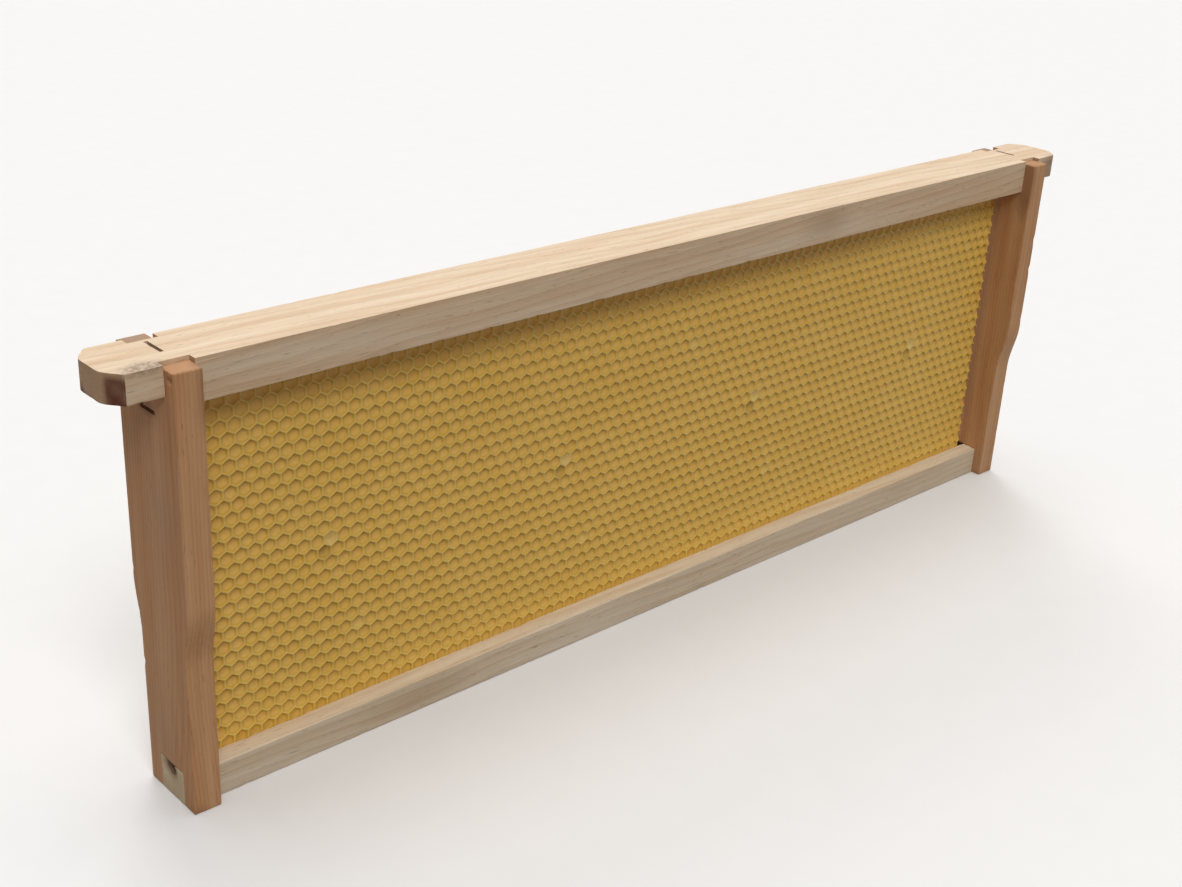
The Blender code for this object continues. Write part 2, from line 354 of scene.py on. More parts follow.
def rounded(before, corner, after, reach):
    """A corner of an outline, worn round over this reach on both sides."""
    middle = Vector(corner)
    start = middle + (Vector(before) - middle).normalized() * reach
    finish = middle + (Vector(after) - middle).normalized() * reach
    arc = []
    for share in (0.0, 0.25, 0.5, 0.75, 1.0):
        spot = start * (1 - share) ** 2 + middle * 2 * share * (1 - share) + finish * share ** 2
        arc.append((spot.x, spot.y))
    return arc


dado_end = (span_half + HAIRLINE, half_width)
corner_in = (lug_end - LUG_CORNER[0], half_width)
corner_out = (lug_end, half_width - LUG_CORNER[1])
top_bar = plank("top_bar_pine", all_quarters([
    (inner_half - HAIRLINE, half_width),
    (inner_half - HAIRLINE, NECK_HALF),
    (span_half + HAIRLINE, NECK_HALF),
    dado_end,
    *rounded(dado_end, corner_in, corner_out, WORN_SAWN_CORNER),
    *rounded(corner_in, corner_out, (lug_end, 0.0), WORN_TIP_CORNER),
]), top - BAR_DEPTH, top)
beyond = 2 * MM  # how far a cutter passes the wood
under_bar = top - BAR_DEPTH - beyond
reliefs = [cutter((-lug_end - beyond, -GROOVE_HALF, under_bar),
                  (lug_end + beyond, GROOVE_HALF, top - BAR_DEPTH + GROOVE_DEPTH))]
for side in (-1, 1):
    for start, depth in ((inner_half - HAIRLINE, NECK_DEPTH), (span_half + HAIRLINE, LUG_DEPTH)):
        ends = sorted((side * start, side * (lug_end + beyond)))
        reliefs.append(cutter((ends[0], -half_width - beyond, under_bar),
                              (ends[1], half_width + beyond, top - depth)))
carve(top_bar, reliefs)
ease(top_bar, BAR_ARRIS)

STAPLE_SLOT_HALF = (0.66 * MM, 5.10 * MM)  # what the gun's blow opens, across and along the crown
STAPLE_SLOT_DEPTH = 1.5 * MM
STAPLE_MIDDLE_X = span_half - END_THICKNESS / 2
TOP_STAPLE_Y = 2.6 * MM


def staple_slots(y, low, high):
    """The slots of one bar's two staples, over the middles of the end bars."""
    half_x, half_y = STAPLE_SLOT_HALF
    return [cutter((side * STAPLE_MIDDLE_X - half_x, y - half_y, low),
                   (side * STAPLE_MIDDLE_X + half_x, y + half_y, high)) for side in (-1, 1)]


carve(top_bar, staple_slots(TOP_STAPLE_Y, top - STAPLE_SLOT_DEPTH, top + MM))

# Cut up finely at the torn left lug, and every 1 to 2.4 mm elsewhere.
body = bmesh.new()
body.from_mesh(top_bar.data)
dice(body, 0, np.arange(-240.0, -212.0, 0.8) * MM)
dice(body, 0, np.arange(-210.0, 212.0, 2.4) * MM)
dice(body, 0, np.arange(213.6, 241.2, 1.1) * MM)
dice(body, 1, np.arange(-11.2, 12.0, 1.6) * MM)
dice(body, 2, top + np.arange(-13.2, -0.8, 1.8) * MM)

TORN_PATCH = Vector((-229.0 * MM, -10.6 * MM, top))
STAINED_CORNER = (-lug_end, 5.6 * MM, top - LUG_DEPTH)
# The middle of the painted shade on the right lug's front face.
SHADE_ON_RIGHT_LUG = (lug_end - 4 * MM, -half_width, top - 7 * MM)
SMUDGE = (74 * MM, -half_width, top - 6 * MM)
SAW_SCORCH = ((-1, -1, 1.00), (-1, 1, 0.35), (1, -1, 0.45), (1, 1, 0.30))  # each lug corner, and how brown


def top_bar_depth(spot, arris):
    """How far the planer's waves, small nicks and the torn patch lie below the flat face."""
    planer_wave = 0.03 * MM * (1 + noise.noise(spot * 25))
    nick = max(0.0, noise.noise(spot * 240) - 0.30) * 0.9 * MM if arris else 0.0
    ragged = (0.35 + 0.5 * noise.noise(spot * 900)) * MM
    torn = near(spot, TORN_PATCH, (8.5 * MM, 4.2 * MM, 1.5 * MM)) * ragged
    return planer_wave + nick + max(0.0, torn)


def top_bar_marks(spot):
    """The torn patch's grey, the sawn corners' scorch, a dark stain at the left lug's low corner, painted
    shade on the right lug's front, and a smudge on the front.
    """
    scuff = min(1.0, 2.2 * near(spot, TORN_PATCH, (9.5 * MM, 5.0 * MM, 3.0 * MM)))
    scorch_and_shade = 0.0
    past_x = (abs(spot.x) - (lug_end - LUG_CORNER[0])) / LUG_CORNER[0]
    past_y = (abs(spot.y) - (half_width - LUG_CORNER[1])) / LUG_CORNER[1]
    on_facet = past_x + past_y > 0.93 and top - spot.z > 0.1 * MM
    for side_x, side_y, strength in SAW_SCORCH:
        if on_facet and spot.x * side_x > 0 and spot.y * side_y > 0:
            from_end = (lug_end - abs(spot.x)) / LUG_CORNER[0]
            sawn_hot = min(1.0, max(0.2, 5.0 * (from_end - 0.10)))
            scorch_and_shade = strength * sawn_hot * (0.92 + 0.2 * noise.noise(spot * 300))
    low_corner = near(spot, STAINED_CORNER, (2.5 * MM, 3.2 * MM, 3.4 * MM))
    scorch_and_shade = max(scorch_and_shade, min(0.95, 1.8 * low_corner))
    # Painted shade: the right lug's front face is darkened with the scorch colour.
    right_lug_shade = near(spot, SHADE_ON_RIGHT_LUG, (14 * MM, 4 * MM, 10 * MM))
    scorch_and_shade = max(scorch_and_shade, min(0.5, 1.1 * right_lug_shade))
    smudge = 0.5 * near(spot, SMUDGE, (20 * MM, 5 * MM, 9 * MM))
    return (scuff, min(1.0, max(0.0, scorch_and_shade)), smudge)


weather(body, top_bar_depth, top_bar_marks)
chance = np.random.default_rng(11)
for i in range(70):
    root = TORN_PATCH + Vector((
        chance.uniform(-7, 6.5) * MM,
        chance.uniform(-1.9, 2.6) * MM,
        -0.42 * MM,
    ))
    tip = root + Vector((
        chance.uniform(-2.2, 2.2) * MM,
        chance.uniform(-0.7, 0.7) * MM,
        chance.uniform(0.12, 0.36) * MM,
    ))
    splinter(body, root, tip, chance.uniform(0.12, 0.28) * MM)
body.to_mesh(top_bar.data)
body.free()

# Cream sapwood with soft amber year lines, which drift across the faces.
top_bar_wood = planed_pine(
    "planed_pine_top_bar", "X", pith_mm=(38.0, 96.0), lean=(0.022, -0.030), ring_mm=2.6,
    early="#EED9BD", warm="#E1C3A0", late="#C69A6E", end_grain="#B08A66", ring_strength=0.36)
furnish(top_bar, top_bar_wood, "bar_wood", "top_bar")


# ---------------------------------------------------------------- end bars
# Two pine boards that stand at the frame's ends, wider above a curved shoulder than below, so that frames
# hung side by side keep a bee's space. Each clasps the top bar and the bottom bar's tenon between prongs.
# They are cut from a redder, closer-grained board than the bars.
PRONG_TOP = end_high.z
TOP_HALF = end_high.y
BOTTOM_HALF = 14.3 * MM
SHOULDER_LOW = 56.0 * MM
SHOULDER_RISE = 22.0 * MM
SHOULDER_STEPS = 16
TENON_HALF = 7.3 * MM
BOTTOM_DEPTH = 12.7 * MM
NECK_SLOT_DEPTH = 10.3 * MM  # from the bar's top to the floor of the slot that its neck sits in
END_ARRIS = 0.50 * MM
SIDE_STAPLE_Z = top - LUG_DEPTH - 7.9 * MM  # where the gun has room under the lug
SIDE_STAPLE_Y = -0.4 * MM
SIDE_STAPLE_TILT = math.radians(28)  # upwards, so that its legs reach the top bar
SIDE_SLOT_DEPTH = 1.6 * MM
SIDE_SLOT_HALF = 4.5 * MM
SIDE_SLOT_BELOW = 0.70 * MM
SIDE_SLOT_ABOVE = 0.85 * MM
PRONG_CHIP = Vector((-span_half, -15.2 * MM, 154.6 * MM))

half_outline = [
    (TENON_HALF + HAIRLINE, BOTTOM_DEPTH + HAIRLINE),
    (TENON_HALF + HAIRLINE, 0.0),
    (BOTTOM_HALF, 0.0),
]
for step in range(SHOULDER_STEPS + 1):
    eased = (1 - math.cos(math.pi * step / SHOULDER_STEPS)) / 2
    half_outline.append((BOTTOM_HALF + (TOP_HALF - BOTTOM_HALF) * eased,
                         SHOULDER_LOW + SHOULDER_RISE * step / SHOULDER_STEPS))
half_outline += [
    (TOP_HALF, PRONG_TOP),
    (NECK_HALF + HAIRLINE, PRONG_TOP),
    (NECK_HALF + HAIRLINE, top - NECK_SLOT_DEPTH - HAIRLINE),
]
end_outline = half_outline + [(-y, z) for y, z in reversed(half_outline)]


def end_bar_depth(spot, arris):
    """How far the saw's waves, small nicks and the chipped prong lie below the flat face."""
    saw_wave = 0.03 * MM * (1 + noise.noise(spot * 30))
    nick = max(0.0, noise.noise(spot * 210) - 0.26) * 1.1 * MM if arris else 0.0
    chip = near(spot, PRONG_CHIP, (1.6 * MM, 2.3 * MM, 1.5 * MM)) * 0.8 * MM
    return saw_wave + nick + chip


for side, label, pith, lean, seed in ((-1, "left", (-31.0, -262.0), (0.016, 0.020), 5),
                                      (1, "right", (44.0, 250.0), (-0.020, 0.012), 8)):
    faces_x = sorted((side * inner_half, side * span_half))
    end_bar = plank(label + "_end_bar_pine", end_outline, faces_x[0], faces_x[1], "YZX")
    ease(end_bar, END_ARRIS)
    outer = side * span_half
    inner = side * inner_half
    slot_x = sorted((outer - side * SIDE_SLOT_DEPTH, outer + side * MM))
    carve(end_bar, [cutter((slot_x[0], SIDE_STAPLE_Y - SIDE_SLOT_HALF, SIDE_STAPLE_Z - SIDE_SLOT_BELOW),
                           (slot_x[1], SIDE_STAPLE_Y + SIDE_SLOT_HALF, SIDE_STAPLE_Z + SIDE_SLOT_ABOVE))])
    # Cut up every 2 mm or so, and more finely round the prongs' tips.
    body = bmesh.new()
    body.from_mesh(end_bar.data)
    dice(body, 2, np.arange(1.5, 157.0, 2.1) * MM)
    dice(body, 1, np.arange(-16.0, 16.5, 2.2) * MM)
    dice(body, 2, np.arange(151.2, 157.0, 0.7) * MM)
    dice(body, 1, np.arange(-16.8, -11.5, 0.7) * MM)
    dice(body, 0, [faces_x[0] + share * END_THICKNESS for share in (0.2, 0.4, 0.6, 0.8)])

    def end_bar_marks(spot):
        """Grime and handling, a dark foot, the staple's bruise with painted shade round its slot, knocks on
        the prongs, and painted shadow on the front prong's inner face.
        """
        grime = 0.28 * near(spot, (outer, 4 * MM, 20 * MM), (3 * MM, 13 * MM, 30 * MM))
        handled = 0.22 * near(spot, (outer, -6 * MM, 105 * MM), (3 * MM, 9 * MM, 26 * MM))
        foot = 0.30 * near(spot, (outer, -BOTTOM_HALF, 0.0), (6 * MM, 5 * MM, 5 * MM))
        # Partly the gun's bruise, partly painted shade: the side staple's slot and its surround are
        # darkened.
        staple_bruise_and_shade = 0.85 * near(spot, (outer, SIDE_STAPLE_Y, SIDE_STAPLE_Z), (1.5 * MM, 6.2 * MM, 2.4 * MM))
        chip = min(1.0, 1.6 * near(spot, PRONG_CHIP, (1.8 * MM, 2.8 * MM, 2.0 * MM)))
        back_prong = (side * 219.5 * MM, 13.8 * MM, PRONG_TOP)
        bruise = 0.9 * min(1.0, 1.8 * near(spot, back_prong, (8 * MM, 6 * MM, 2 * MM)))
        # Painted shadow: the front prong's inner face by the neck, where the top bar shades it, is
        # darkened.
        painted_shadow_by_neck = 0.8 * near(spot, (inner, -15 * MM, 148 * MM), (3 * MM, 6 * MM, 18 * MM))
        return (max(0.2 * chip, bruise), max(foot, staple_bruise_and_shade, min(0.4, painted_shadow_by_neck)), max(grime, handled))

    weather(body, end_bar_depth, end_bar_marks)
    chance = np.random.default_rng(seed)
    for i in range(14):
        y = chance.choice([-1, 1]) * chance.uniform(TENON_HALF + 0.3 * MM, BOTTOM_HALF - MM)
        x = chance.uniform(faces_x[0] + MM, faces_x[1] - MM)
        root = Vector((x, y, 1.2 * MM))
        tip = Vector((
            x + chance.uniform(-0.5, 0.5) * MM,
            y + chance.uniform(-0.6, 0.6) * MM,
            0.05 * MM,
        ))
        splinter(body, root, tip, chance.uniform(0.2, 0.45) * MM)
    if side < 0:
        for i in range(9):
            root = PRONG_CHIP + Vector((0.75, chance.uniform(-1.5, 1.5), chance.uniform(-1.0, 0.2))) * MM
            lift = Vector((-0.62, chance.uniform(-0.5, 0.5), chance.uniform(0.4, 1.1))) * MM
            splinter(body, root, root + lift, chance.uniform(0.2, 0.4) * MM)
    body.to_mesh(end_bar.data)
    body.free()
    # Orange-tinted heartwood with fine, darker year lines 1.25 mm apart.
    end_wood = planed_pine(
        "planed_pine_" + label + "_end_bar", "Z", pith_mm=pith, lean=lean, ring_mm=1.25,
        early="#DEB286", warm="#CC9567", late="#A1653A", end_grain="#B7865B", ring_strength=0.38)
    furnish(end_bar, end_wood, "end_bar_wood", label + "_end_bar")


# ---------------------------------------------------------------- bottom bar
# A pine batten under the sheet, grooved along its top by a saw that runs right out through the tenons, so
# its kerf shows on the end bars' outer faces. It is the palest wood of the four.
bottom_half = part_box("bottom_bar")[1].y
bottom_bar = plank("bottom_bar_pine", all_quarters([
    (inner_half - HAIRLINE, bottom_half),
    (inner_half - HAIRLINE, TENON_HALF),
    (span_half, TENON_HALF),
]), 0.0, BOTTOM_DEPTH)
carve(bottom_bar, [cutter((-span_half - beyond, -GROOVE_HALF, BOTTOM_DEPTH - GROOVE_DEPTH),
                          (span_half + beyond, GROOVE_HALF, BOTTOM_DEPTH + beyond))])
ease(bottom_bar, BAR_ARRIS)
BOTTOM_STAPLE_Y = 1.2 * MM
carve(bottom_bar, staple_slots(BOTTOM_STAPLE_Y, -MM, STAPLE_SLOT_DEPTH))
body = bmesh.new()
body.from_mesh(bottom_bar.data)
dice(body, 0, np.arange(-223.0, 223.5, 2.4) * MM)
dice(body, 1, np.arange(-9.0, 9.2, 1.2) * MM)
dice(body, 2, np.arange(1.2, 12.5, 1.9) * MM)


def bottom_bar_depth(spot, arris):
    """How far the planer's waves, small nicks and the kerf's torn ends lie below the flat face."""
    planer_wave = 0.03 * MM * (1 + noise.noise(spot * 22 + Vector((3, 0, 0))))
    nick = max(0.0, noise.noise(spot * 230 + Vector((0, 7, 0))) - 0.30) * 0.9 * MM if arris else 0.0
    kerf_end = (math.copysign(span_half, spot.x), 1.6 * MM, BOTTOM_DEPTH - 2.6 * MM)
    torn_out = 1.9 * MM * near(spot, kerf_end, (2.5 * MM, 4.8 * MM, 4.0 * MM))
    return planer_wave + nick + torn_out


def bottom_bar_marks(spot):
    """A smudge on the front, and painted shade in the kerf where the saw runs out through the tenons."""
    smudge = 0.35 * near(spot, (-130 * MM, -bottom_half, 6 * MM), (30 * MM, 4 * MM, 8 * MM))
    in_kerf = abs(spot.y) < GROOVE_HALF + 0.2 * MM and spot.z > BOTTOM_DEPTH - GROOVE_DEPTH - 0.2 * MM
    # Painted shade: the kerf is darkened near its ends and where it opens on the end bars' outer faces.
    painted_kerf_shade = 0.75 if in_kerf and abs(spot.x) > inner_half - 4 * MM else 0.0
    kerf_end = (math.copysign(span_half, spot.x), 0.9 * MM, BOTTOM_DEPTH - 2.2 * MM)
    painted_kerf_shade = max(painted_kerf_shade, min(0.85, 1.7 * near(spot, kerf_end, (3 * MM, 5.2 * MM, 4.6 * MM))))
    return (0.0, painted_kerf_shade, smudge)


weather(body, bottom_bar_depth, bottom_bar_marks)
chance = np.random.default_rng(23)
for side in (-1, 1):
    for i in range(10):
        y = -bottom_half + chance.uniform(0.0, 0.8) * MM
        z = chance.uniform(1.0, 11.5) * MM
        root = Vector((side * (inner_half - 1.4 * MM), y + 0.6 * MM, z))
        tip = Vector((
            side * (inner_half - chance.uniform(0.15, 0.5) * MM),
            y + chance.uniform(0.0, 0.4) * MM,
            z + chance.uniform(-0.6, 0.6) * MM,
        ))
        splinter(body, root, tip, chance.uniform(0.25, 0.5) * MM)
body.to_mesh(bottom_bar.data)
body.free()
# Near-white sapwood with wide, faint year lines.
bottom_bar_wood = planed_pine(
    "planed_pine_bottom_bar", "X", pith_mm=(-52.0, -58.0), lean=(-0.018, 0.024), ring_mm=2.9,
    early="#F1E2CA", warm="#E7D1B2", late="#CCA479", end_grain="#DBC7A2", ring_strength=0.33)
furnish(bottom_bar, bottom_bar_wood, "bar_wood", "bottom_bar")


# ---------------------------------------------------------------- staples
# Flattened steel wire, zinc-plated and dulled, shot in by an air gun so that each crown ends up just below
# the wood. At each end one comes down through the top bar, one goes in and up from the end bar's outer
# face, under the lug, and one comes up through the bottom bar.
WIRE = 1.1 * MM
BEND = 0.7 * MM
POINT = 1.4 * MM  # the tapered end of a leg
SUNK = 0.55 * MM
WIDE_STAPLE = (10.0 * MM, 25.0 * MM)  # crown and leg of those through the top and bottom bars
NARROW_STAPLE = (8.6 * MM, 18.0 * MM)  # and of those under the lugs
SECTION_SIDES = 10


def bent_wire(name, entry, across, into, crown, leg):
    """Sweeps a rounded flat wire section round a staple's bends, and tapers its legs to points."""
    body = bmesh.new()
    around = np.linspace(0, math.tau, SECTION_SIDES, endpoint=False)
    section = [(math.cos(angle), math.sin(angle)) for angle in around]
    facing = across.cross(into)
    half = crown / 2 - WIRE / 2
    path = [(-half, leg, 0.15), (-half, leg - POINT, 1.0), (-half, 4 * MM, 1.0), (-half, BEND, 1.0)]
    for turn in (0.33, 0.67):
        angle = turn * math.pi / 2
        path.append((-half + BEND * (1 - math.cos(angle)), BEND * (1 - math.sin(angle)), 1.0))
    path += [(-half + BEND, 0.0, 1.0), (0.0, 0.06 * MM, 1.0)]
    path += [(-u, v, w) for u, v, w in reversed(path[:-1])]
    rings = []
    for i, (u, v, width) in enumerate(path):
        before = path[max(i - 1, 0)]
        after = path[min(i + 1, len(path) - 1)]
        run = Vector((after[0] - before[0], after[1] - before[1])).normalized()
        out = across * -run.y + into * run.x
        middle = entry + across * u + into * (v + SUNK + WIRE / 2)
        ring = []
        for c, s in section:
            spot = middle + out * (c * WIRE / 2 * width)
            ring.append(body.verts.new(spot + facing * (s * WIRE / 2 * width * 0.9)))
        rings.append(ring)
    for one, two in zip(rings, rings[1:]):
        for i in range(SECTION_SIDES):
            j = (i + 1) % SECTION_SIDES
            body.faces.new((one[i], one[j], two[j], two[i]))
    body.faces.new(rings[0][::-1])
    body.faces.new(rings[-1])
    bmesh.ops.recalc_face_normals(body, faces=body.faces)
    return as_object(name, body)


# Zinc over steel: grey, mottled by the plating, browned where the coat was scraped off by the gun.
plated = bpy.data.materials.new("zinc_plated_staple_wire")
tree = empty_tree(plated)
place = add(tree, "TexCoord")
# The plating's blotches are 0.7 mm wide.
bloom = add(tree, "TexNoise", {"Vector": place.outputs["Object"], "Scale": 1400.0, "Detail": 3.0})
zinc = add(tree, "Mix", {0: bloom.outputs["Fac"], 6: linear("#57504A"), 7: linear("#8B837B")},
           data_type="RGBA")
rust = add(tree, "MapRange", {0: bloom.outputs["Fac"], 1: 0.50, 2: 0.64, 3: 0.0, 4: 0.85}, clamp=True)
browned = add(tree, "Mix", {0: rust.outputs[0], 6: zinc.outputs[2], 7: linear("#5B3F2C")}, data_type="RGBA")
dulled = add(tree, "MapRange", {0: bloom.outputs["Fac"], 1: 0.3, 2: 0.7, 3: 0.34, 4: 0.60})
dents = add(tree, "Bump", {"Height": bloom.outputs["Fac"], "Strength": 0.3, "Distance": 0.00008})
metal = add(tree, "BsdfPrincipled", {"Base Color": browned.outputs[2], "Metallic": 0.9,
                                     "Roughness": dulled.outputs[0], "Normal": dents.outputs[0]})
add(tree, "OutputMaterial", {0: metal.outputs[0]})

cross = Vector((0, 1, 0))  # every crown lies across the frame
for side, label in ((-1, "left"), (1, "right")):
    over_end = side * STAPLE_MIDDLE_X
    upwards = (-side * math.cos(SIDE_STAPLE_TILT), 0, math.sin(SIDE_STAPLE_TILT))
    shots = (
        ("top_staple_", (over_end, TOP_STAPLE_Y, top), (0, 0, -1), WIDE_STAPLE),
        ("side_staple_", (side * span_half, SIDE_STAPLE_Y, SIDE_STAPLE_Z), upwards, NARROW_STAPLE),
        ("bottom_staple_", (over_end, BOTTOM_STAPLE_Y, 0), (0, 0, 1), WIDE_STAPLE),
    )
    for kind, entry, into, (crown, leg) in shots:
        staple = bent_wire(kind + label + "_wire", Vector(entry), cross, Vector(into), crown, leg)
        staple.data.materials.append(plated)
        staple.data.shade_smooth()
        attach(staple, "root")
        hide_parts(kind + label)


# ---------------------------------------------------------------- foundation sheet
# A sheet of yellow plastic, moulded on both sides with the starts of worker cells and dipped in beeswax.
# The cells of one side stand half a cell from the other's, so each floor is three lozenges that meet in a
# low point. It bows between its two grooves. Each of the four gate marks has an ejector pit just below it.
CELL = 5.33 * MM  # across the flats
CORNER = CELL / math.sqrt(3)
ROW = 1.5 * CORNER
CREST = 1.68 * MM  # this and the floors are measured from the sheet's middle plane
HIGH_FLOOR = 0.86 * MM
LOW_FLOOR = 0.52 * MM
DEEPEST = 0.22 * MM
GATE_FLOOR = 0.95 * MM
PIT_FLOOR = -0.20 * MM
RIM_IN = 0.20 * MM  # from a wall's crest to its rim's edge
RIM_DROP = 0.11 * MM
FOOT_IN = 1.00 * MM  # and to its foot
FOOT_FILLET = 0.10 * MM
RIM_REACH = CORNER - RIM_IN / math.cos(math.pi / 6)
FOOT_REACH = CORNER - FOOT_IN / math.cos(math.pi / 6)
GATE_Z = 78.0 * MM
GATE_X = -54.1 * MM
GATE_EVERY = 20  # cells
BOW = 0.42 * MM
FAINT_MARKS = ((-8, 2), (-8, 22), (-8, -18), (7, 12))  # rows and columns from the first gate mark

sheet_low, sheet_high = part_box("foundation_sheet")


def sheet_bow(x, z):
    """How far the sheet bows out of plane between its grooves."""
    share = (z - sheet_low.z) / (sheet_high.z - sheet_low.z)
    return BOW * np.sin(np.pi * np.clip(share, 0, 1)) * np.sin(x * 11.0 + 0.7)


def cell_side(side):
    """One side's cells, as points, their rise from floor to crest, their marks, and faces."""
    shift_z = 0.0 if side < 0 else CORNER
    high_corners = (1, 3, 5) if side < 0 else (0, 2, 4)
    chance = np.random.default_rng(40 + side)
    points, rises, marks, faces = [], [], [], []
    known = {}

    def point(x, z, height, rise, mark, shared=False):
        key = (round(x * 2e5), round(z * 2e5))
        if shared and key in known:
            return known[key]
        if shared:
            height -= chance.uniform(0.0, 0.07) * MM  # the crests are a little uneven
            known[key] = len(points)
        points.append((x, side * height + sheet_bow(x, z), z))
        rises.append(rise)
        marks.append(mark)
        return len(points) - 1

    rows = range(int((sheet_low.z - GATE_Z) / ROW) - 3, int((sheet_high.z - GATE_Z) / ROW) + 4)
    for row in rows:
        centre_z = GATE_Z + shift_z + row * ROW
        for column in range(-36, 54):
            centre_x = GATE_X + (column + (row % 2) / 2) * CELL
            within_x = abs(centre_x) <= sheet_high.x + CELL
            within_z = sheet_low.z - ROW * 1.5 < centre_z < sheet_high.z + ROW * 1.5
            if not (within_x and within_z):
                continue
            gate = side < 0 and row == 0 and column % GATE_EVERY == 0
            pit = side < 0 and row == -1 and (column + 1) % GATE_EVERY == 0
            # The mark says how far a cell's colour turns to the gate's (above 0) or to the pit's painted
            # shade (below 0).
            if gate:
                mark, low = 0.60, GATE_FLOOR
            elif pit:
                mark, low = -0.40, PIT_FLOOR
            elif side < 0 and (row, column) in FAINT_MARKS:
                mark, low = 0.35, DEEPEST
            else:
                mark, low = chance.uniform(0.0, 0.14), DEEPEST
            crest, rim, foot = [], [], []
            for k in range(6):
                angle = math.radians(30 + 60 * k)
                c = math.cos(angle)
                s = math.sin(angle)
                floor = HIGH_FLOOR if k in high_corners else LOW_FLOOR
                if gate:
                    floor = GATE_FLOOR
                floor += chance.uniform(-0.02, 0.02) * MM
                crest.append(point(centre_x + CORNER * c, centre_z + CORNER * s,
                                   CREST, 1.0, 0.0, shared=True))
                rim.append(point(centre_x + RIM_REACH * c, centre_z + RIM_REACH * s,
                                 CREST - RIM_DROP, 0.9, mark))
                foot.append(point(centre_x + FOOT_REACH * c, centre_z + FOOT_REACH * s,
                                  floor + FOOT_FILLET, 0.0, mark))
            middle = point(centre_x, centre_z, low, 0.0, -0.80 if pit else mark * 0.4)
            for k in range(6):
                j = (k + 1) % 6
                for one, two in ((crest, rim), (rim, foot)):
                    faces.append((one[k], one[j], two[j], two[k]))
                faces.append((foot[k], foot[j], middle))
    if side > 0:
        faces = [face[::-1] for face in faces]
    return points, rises, marks, faces


body = bmesh.new()
rise_layer = body.verts.layers.float.new("rise")
mark_layer = body.verts.layers.float.new("mark")
for side in (-1, 1):
    points, rises, marks, faces = cell_side(side)
    made = []
    for spot, rise, mark in zip(points, rises, marks):
        vert = body.verts.new(spot)
        vert[rise_layer] = rise
        vert[mark_layer] = mark
        made.append(vert)
    for face in faces:
        body.faces.new([made[i] for i in face])
# Trim to the moulded sheet's edges, then close each edge with one flat face between its two sides.
limits = ((0, sheet_low.x, -1), (0, sheet_high.x, 1), (2, sheet_low.z, -1), (2, sheet_high.z, 1))
for axis, place, outward in limits:
    normal = Vector([float(i == axis) * outward for i in range(3)])
    spot = Vector([float(i == axis) * place for i in range(3)])
    everything = body.verts[:] + body.edges[:] + body.faces[:]
    bmesh.ops.bisect_plane(
        body, geom=everything, dist=1e-7, plane_co=spot, plane_no=normal, clear_outer=True)
for axis, place, outward in limits:
    edge = [vert for vert in body.verts if vert.is_boundary and abs(vert.co[axis] - place) < 2e-7]
    edge.sort(key=lambda vert: vert.co[2 if axis == 0 else 0])
    front = [vert for vert in edge if vert.co.y < sheet_bow(vert.co.x, vert.co.z)]
    back = [vert for vert in edge if vert.co.y > sheet_bow(vert.co.x, vert.co.z)]
    body.faces.new(front + back[::-1])
bmesh.ops.recalc_face_normals(body, faces=body.faces)
sheet = as_object("foundation_sheet_cells", body)

# Waxed polypropylene: honey yellow, matt with a soft waxy gleam. The wax is milky on the floors. The crests
# are painted paler as highlight, and the walls darker olive as shade, most on the upper walls, which face
# down.
waxed = bpy.data.materials.new("beeswaxed_yellow_polypropylene")
tree = empty_tree(waxed)
place = add(tree, "TexCoord")
rise = add(tree, "Attribute", attribute_name="rise")
mark = add(tree, "Attribute", attribute_name="mark")
# Clouds in the wax are 36 mm wide, and its ripples 1 mm.
patch = add(tree, "TexNoise", {"Vector": place.outputs["Object"], "Scale": 28.0, "Detail": 3.0})
grain = add(tree, "TexNoise", {"Vector": place.outputs["Object"], "Scale": 900.0, "Detail": 3.0})
floor_to_wall = add(tree, "MapRange", {0: rise.outputs["Fac"], 1: 0.02, 2: 0.35}, clamp=True)
wall_to_rim = add(tree, "MapRange", {0: rise.outputs["Fac"], 1: 0.62, 2: 0.93}, clamp=True)
cloudy = add(tree, "MapRange", {0: patch.outputs["Fac"], 1: 0.30, 2: 0.70}, clamp=True)
milky = add(tree, "Mix", {0: cloudy.outputs[0], 6: linear("#E7B956"), 7: linear("#EFC364")},
            data_type="RGBA")
# Painted shade: the walls are tinted darker olive, most where they face down.
facing = add(tree, "SeparateXYZ", {0: place.outputs["Normal"]})
down_facing_shade = add(tree, "MapRange", {0: facing.outputs[2], 1: 0.10, 2: -0.45}, clamp=True)
shaded_wall_colour = add(tree, "Mix", {0: down_facing_shade.outputs[0], 6: linear("#E0B13C"), 7: linear("#C29C2A")},
              data_type="RGBA")
walled = add(tree, "Mix", {0: floor_to_wall.outputs[0], 6: milky.outputs[2], 7: shaded_wall_colour.outputs[2]},
             data_type="RGBA")
# Painted highlight: the crests are paler.
rimmed = add(tree, "Mix", {0: wall_to_rim.outputs[0], 6: walled.outputs[2], 7: linear("#F2CF6C")},
             data_type="RGBA")
gate_share = add(tree, "MapRange", {0: mark.outputs["Fac"], 1: 0.0, 2: 1.0, 3: 0.0, 4: 0.90}, clamp=True)
gated = add(tree, "Mix", {0: gate_share.outputs[0], 6: rimmed.outputs[2], 7: linear("#F7DC8C")},
            data_type="RGBA")
